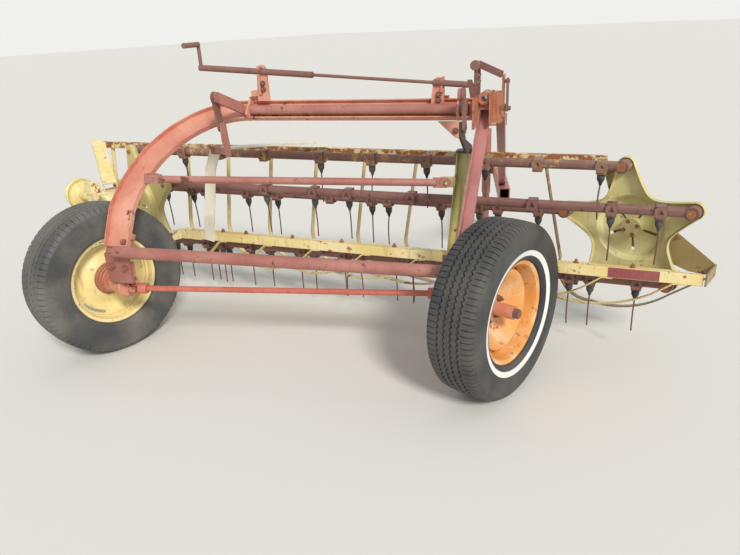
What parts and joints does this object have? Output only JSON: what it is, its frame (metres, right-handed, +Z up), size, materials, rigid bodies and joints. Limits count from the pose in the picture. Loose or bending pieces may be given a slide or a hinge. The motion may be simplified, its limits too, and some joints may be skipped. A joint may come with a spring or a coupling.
{
  "type": "side delivery rake",
  "caption": "Towed side delivery rake: slanted reel of tined bars between star heads in an open basket, hung under an arched frame on a pair of wheels with an angled drawbar.",
  "frame": {"origin": "on the ground under the middle of the machine's overall box", "axes": "+X to the machine's right, +Y the way it is towed, +Z up"},
  "size_m": [3.2083, 3.2392, 1.3578],
  "materials": {
    "tyre": "worn, weathered rubber",
    "cream_paint": "faded cream-yellow paint with rust",
    "orange_rim": "rust-stained paint",
    "red_paint": "sun-faded salmon red paint",
    "dark_red_paint": "dull red paint over rust",
    "olive_paint": "faded olive-yellow paint with rust",
    "rusty_steel": "brown rust",
    "dark_steel": "dark weathered steel"
  },
  "bodies": {
    "frame": {"cross_tube": "dark_red_paint", "left_axle_housing": "dark_red_paint", "right_axle_housing": "dark_red_paint", "left_spindle": "rusty_steel", "right_spindle": "rusty_steel", "arch_beam": "red_paint", "right_leg": "red_paint", "head_bracket": "red_paint", "crank_rod": "red_paint", "crank_brackets": "red_paint", "head_links": "red_paint", "front_strut": "red_paint", "drawbar": "red_paint", "hitch_eye": "red_paint", "jack_outer": "red_paint", "radius_rod_bracket": "red_paint"},
    "left_wheel": {"left_tyre": "tyre", "left_rim": "cream_paint", "left_hub": "red_paint"},
    "right_wheel": {"right_tyre": "tyre", "right_rim": "orange_rim", "right_hub": "red_paint"},
    "drive_shaft": {"drive_shaft": "red_paint"},
    "basket": {"rear_angle": "cream_paint", "top_rail": "cream_paint", "left_upright": "cream_paint", "right_upright": "olive_paint", "left_lift_bracket": "dark_steel", "right_lift_bracket": "dark_steel", "strippers_left": "cream_paint", "strippers_middle": "cream_paint", "strippers_right": "cream_paint", "right_end_plate": "cream_paint", "left_end_frame": "cream_paint", "left_end_arm": "cream_paint", "gearbox": "olive_paint"},
    "drive_pulley": {"drive_pulley": "olive_paint"},
    "left_head": {"left_star": "olive_paint", "left_head_pins": "rusty_steel"},
    "right_head": {"right_star": "olive_paint", "right_head_pins": "rusty_steel"},
    "rockshaft": {"rockshaft": "red_paint"},
    "left_lift_link": {"left_lift_link": "rusty_steel"},
    "right_lift_link": {"right_lift_link": "rusty_steel"},
    "radius_rod": {"radius_rod": "red_paint"},
    "jack_leg": {"jack_leg": "red_paint"},
    "bar_1": {"bar_1": "rusty_steel", "tines_1": "rusty_steel"},
    "bar_2": {"bar_2": "rusty_steel", "tines_2": "rusty_steel"},
    "bar_3": {"bar_3": "rusty_steel", "tines_3": "rusty_steel"},
    "bar_4": {"bar_4": "rusty_steel", "tines_4": "rusty_steel"},
    "bar_5": {"bar_5": "rusty_steel", "tines_5": "rusty_steel"}
  },
  "joints": [
    {"name": "left_wheel_spin", "type": "hinge", "parent": "frame", "child": "left_wheel", "pos_m": [-0.662, -1.268, 0.352], "axis": [1, 0, 0], "continuous": true},
    {"name": "right_wheel_spin", "type": "hinge", "parent": "frame", "child": "right_wheel", "pos_m": [1.01, -0.554, 0.352], "axis": [1, 0, 0], "continuous": true},
    {"name": "drive_shaft_spin", "type": "hinge", "parent": "frame", "child": "drive_shaft", "pos_m": [-0.409, -1.268, 0.352], "axis": [0.8528, 0.5222, 0], "continuous": true},
    {"name": "basket_lift", "type": "slide", "parent": "frame", "child": "basket", "axis": [0, 0, 1], "range_m": [0, 0.05]},
    {"name": "right_head_spin", "type": "hinge", "parent": "basket", "child": "right_head", "pos_m": [1.263, 0.064, 0.536], "axis": [0, 1, 0], "continuous": true},
    {"name": "left_head_spin", "type": "hinge", "parent": "basket", "child": "left_head", "pos_m": [-1.11299, -0.72638, 0.536], "axis": [0, 1, 0], "continuous": true},
    {"name": "drive_pulley_spin", "type": "hinge", "parent": "basket", "child": "drive_pulley", "pos_m": [-1.304, -0.981, 0.59], "axis": [1, 0, 0], "continuous": true},
    {"name": "rockshaft_turn", "type": "hinge", "parent": "frame", "child": "rockshaft", "pos_m": [0.0823, -0.63011, 1.07], "axis": [0.9272, 0.3746, 0], "range_deg": [-25, 0.2]},
    {"name": "left_link_swing", "type": "hinge", "parent": "rockshaft", "child": "left_lift_link", "pos_m": [-0.16772, -0.87888, 1.14], "axis": [0.9272, 0.3746, 0], "range_deg": [-0.2, 6.5]},
    {"name": "right_link_swing", "type": "hinge", "parent": "rockshaft", "child": "right_lift_link", "pos_m": [0.80768, -0.48479, 1.14], "axis": [0.9272, 0.3746, 0], "range_deg": [-0.2, 6.5]},
    {"name": "radius_rod_swing", "type": "hinge", "parent": "frame", "child": "radius_rod", "pos_m": [-0.41304, -1.08585, 0.808], "axis": [-0.5701, 0.8216, 0], "range_deg": [-2.6, 0.2]},
    {"name": "jack_slide", "type": "slide", "parent": "frame", "child": "jack_leg", "axis": [0, 0, 1], "range_m": [0, 0.2]},
    {"name": "bar_1_hang", "type": "hinge", "parent": "right_head", "child": "bar_1", "pos_m": [1.22724, 0.064, 0.80766], "axis": [0, 1, 0], "continuous": true},
    {"name": "bar_2_hang", "type": "hinge", "parent": "right_head", "child": "bar_2", "pos_m": [1.51031, 0.064, 0.65396], "axis": [0, 1, 0], "continuous": true},
    {"name": "bar_3_hang", "type": "hinge", "parent": "right_head", "child": "bar_3", "pos_m": [1.45161, 0.064, 0.33725], "axis": [0, 1, 0], "continuous": true},
    {"name": "bar_4_hang", "type": "hinge", "parent": "right_head", "child": "bar_4", "pos_m": [1.13226, 0.064, 0.2952], "axis": [0, 1, 0], "continuous": true},
    {"name": "bar_5_hang", "type": "hinge", "parent": "right_head", "child": "bar_5", "pos_m": [0.99359, 0.064, 0.58593], "axis": [0, 1, 0], "continuous": true}
  ],
  "couplings": [
    {"joint": "drive_shaft_spin", "follows": "left_wheel_spin", "ratio": 1},
    {"joint": "left_head_spin", "follows": "right_head_spin", "ratio": 1},
    {"joint": "drive_pulley_spin", "follows": "right_head_spin", "ratio": 1},
    {"joint": "rockshaft_turn", "follows": "basket_lift", "rad_per_m": -8.4458},
    {"joint": "left_link_swing", "follows": "basket_lift", "rad_per_m": 1.9867},
    {"joint": "right_link_swing", "follows": "basket_lift", "rad_per_m": 1.9867},
    {"joint": "radius_rod_swing", "follows": "basket_lift", "rad_per_m": -0.78025},
    {"joint": "bar_1_hang", "follows": "right_head_spin", "ratio": -1},
    {"joint": "bar_2_hang", "follows": "right_head_spin", "ratio": -1},
    {"joint": "bar_3_hang", "follows": "right_head_spin", "ratio": -1},
    {"joint": "bar_4_hang", "follows": "right_head_spin", "ratio": -1},
    {"joint": "bar_5_hang", "follows": "right_head_spin", "ratio": -1}
  ]
}
